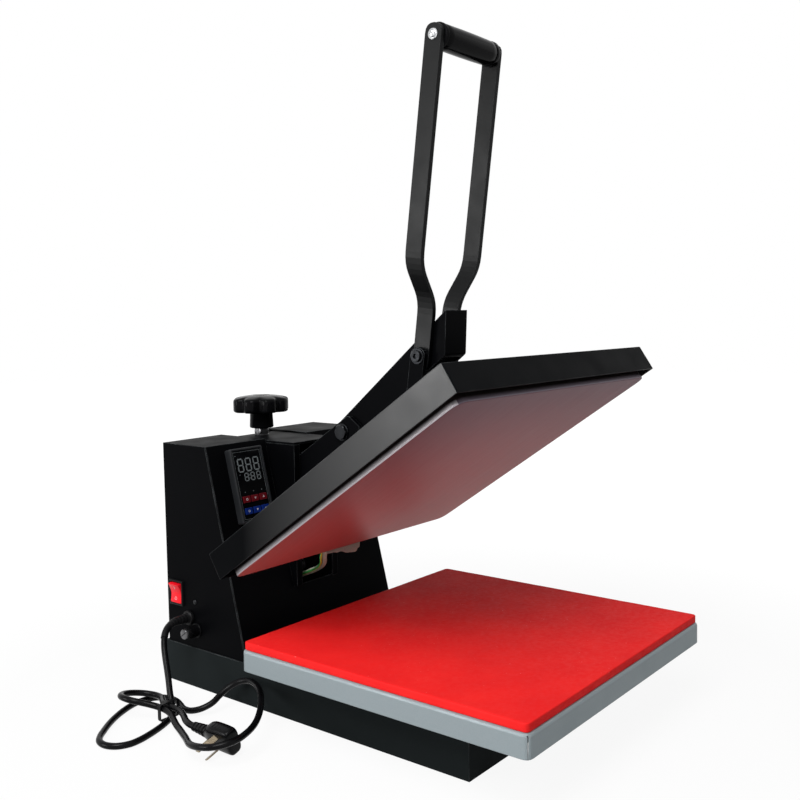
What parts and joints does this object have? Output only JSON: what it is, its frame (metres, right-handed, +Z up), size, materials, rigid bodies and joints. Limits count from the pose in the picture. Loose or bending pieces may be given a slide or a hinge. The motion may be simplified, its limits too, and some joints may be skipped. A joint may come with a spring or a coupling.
{
  "type": "clamshell heat press",
  "caption": "Manual clamshell heat press, standing open: padded lower tray, hinged heated platen, toggle lever with a loop handle, pressure knob, digital controller and mains cord.",
  "frame": {"origin": "on the floor under the middle of the machine, the cord and its plug left out", "axes": "+X to the operator's right, +Y from the operator's side to the back, +Z up"},
  "size_m": [0.5053, 0.582, 0.7699],
  "materials": {
    "black_paint": "black powder coat, fine orange peel, satin",
    "grey_paint": "silver-grey hammered paint, satin",
    "silicone_red": "red silicone sponge, matt",
    "coated_plate": "non-stick coated aluminium, satin with a pink-grey cast",
    "glass_cloth": "white woven glass cloth",
    "steel": "zinc-plated steel",
    "chrome": "bright plated",
    "black_plastic": "moulded black plastic",
    "black_rubber": "black PVC flex and plug",
    "grey_plastic": "moulded grey plastic",
    "display_window": "dark tinted window",
    "key_red": "red key cap",
    "key_blue": "blue key cap",
    "rocker_red": "translucent red rocker",
    "earth_green_yellow": "yellow-green striped insulation",
    "brass": "plated brass prongs"
  },
  "bodies": {
    "frame": {"base_channel": "black_paint", "tray_rail_left": "black_paint", "tray_rail_right": "black_paint", "centre_box_left": "black_paint", "centre_box_right": "black_paint", "centre_box_back": "black_paint", "centre_box_lid": "black_paint", "front_panel": "black_paint", "left_cover": "black_paint", "right_cover": "black_paint", "lower_tray": "grey_paint", "silicone_pad": "silicone_red", "cover_screw_left": "steel", "cover_screw_right": "steel", "main_hinge_pin": "steel", "switch_frame": "black_plastic", "fuse_holder": "black_plastic", "cable_gland": "black_plastic", "power_cord": "black_rubber", "cord_tie": "black_rubber", "plug_body": "black_rubber", "controller_bezel": "grey_plastic", "controller_body": "grey_plastic", "controller_window": "display_window", "plug_prong_line": "brass", "plug_prong_neutral": "brass", "plug_prong_earth": "brass"},
    "platen": {"platen_yoke": "black_paint", "platen_link_pin": "chrome", "upper_cover": "black_paint", "heating_plate": "coated_plate", "insulation_mat": "glass_cloth", "earth_wire": "earth_green_yellow", "glass_sleeve": "glass_cloth", "cloth_flap": "glass_cloth"},
    "handle": {"lever": "black_paint", "handle_bar_left": "black_paint", "handle_bar_right": "black_paint", "handle_grip": "black_plastic", "grip_screw_left": "chrome", "grip_screw_right": "chrome", "lever_link_pin": "steel"},
    "links": {"link_left": "black_paint", "link_right": "black_paint", "link_bolt_left": "chrome", "link_bolt_right": "chrome"},
    "carriage": {"adjusting_bracket": "black_paint", "lever_pin": "steel"},
    "knob": {"pressure_knob": "black_plastic", "adjusting_rod": "steel"},
    "lock_nut": {"lock_nut": "steel"},
    "rocker": {"switch_rocker": "rocker_red"},
    "fuse_cap": {"fuse_cap": "chrome"},
    "red_key_1": {"red_key_1": "key_red"},
    "red_key_2": {"red_key_2": "key_red"},
    "red_key_3": {"red_key_3": "key_red"},
    "blue_key_1": {"blue_key_1": "key_blue"},
    "blue_key_2": {"blue_key_2": "key_blue"},
    "blue_key_3": {"blue_key_3": "key_blue"}
  },
  "joints": [
    {"name": "platen_hinge", "type": "hinge", "parent": "frame", "child": "platen", "pos_m": [0, 0.201, 0.128], "axis": [1, 0, 0], "range_deg": [0, 33.7], "deforming": ["earth_wire", "glass_sleeve"]},
    {"name": "knob_turn", "type": "hinge", "parent": "frame", "child": "knob", "pos_m": [0, 0.249, 0.34], "axis": [0, 0, 1], "range_deg": [-360, 360]},
    {"name": "carriage_slide", "type": "slide", "parent": "frame", "child": "carriage", "axis": [0, 0, 1], "range_m": [-0.00175, 0.00175]},
    {"name": "lever_hinge", "type": "hinge", "parent": "carriage", "child": "handle", "pos_m": [0, 0.075, 0.319], "axis": [1, 0, 0], "range_deg": [0, 68.35]},
    {"name": "link_hinge", "type": "hinge", "parent": "platen", "child": "links", "pos_m": [0, -0.03538, 0.32327], "axis": [1, 0, 0], "range_deg": [-72.12, 0]},
    {"name": "lock_nut_turn", "type": "hinge", "parent": "frame", "child": "lock_nut", "pos_m": [0, 0.249, 0.3067], "axis": [0, 0, 1], "range_deg": [-360, 360]},
    {"name": "rocker_tilt", "type": "hinge", "parent": "frame", "child": "rocker", "pos_m": [-0.1333, 0.266, 0.115], "axis": [0, 1, 0], "range_deg": [0, 16]},
    {"name": "fuse_cap_turn", "type": "hinge", "parent": "frame", "child": "fuse_cap", "pos_m": [-0.151, 0.229, 0.073], "axis": [1, 0, 0], "range_deg": [-90, 0]},
    {"name": "red_key_1_press", "type": "slide", "parent": "frame", "child": "red_key_1", "axis": [0, 0.9691, -0.2468], "range_m": [0, 0.0006], "stiffness_N_per_m": 500, "springref_m": -0.0008},
    {"name": "red_key_2_press", "type": "slide", "parent": "frame", "child": "red_key_2", "axis": [0, 0.9691, -0.2468], "range_m": [0, 0.0006], "stiffness_N_per_m": 500, "springref_m": -0.0008},
    {"name": "red_key_3_press", "type": "slide", "parent": "frame", "child": "red_key_3", "axis": [0, 0.9691, -0.2468], "range_m": [0, 0.0006], "stiffness_N_per_m": 500, "springref_m": -0.0008},
    {"name": "blue_key_1_press", "type": "slide", "parent": "frame", "child": "blue_key_1", "axis": [0, 0.9691, -0.2468], "range_m": [0, 0.0006], "stiffness_N_per_m": 500, "springref_m": -0.0008},
    {"name": "blue_key_2_press", "type": "slide", "parent": "frame", "child": "blue_key_2", "axis": [0, 0.9691, -0.2468], "range_m": [0, 0.0006], "stiffness_N_per_m": 500, "springref_m": -0.0008},
    {"name": "blue_key_3_press", "type": "slide", "parent": "frame", "child": "blue_key_3", "axis": [0, 0.9691, -0.2468], "range_m": [0, 0.0006], "stiffness_N_per_m": 500, "springref_m": -0.0008}
  ],
  "couplings": [
    {"joint": "lever_hinge", "follows": "platen_hinge", "ratio": 2.0281},
    {"joint": "link_hinge", "follows": "platen_hinge", "ratio": -2.14},
    {"joint": "knob_turn", "follows": "carriage_slide", "rad_per_m": 3590.4}
  ]
}
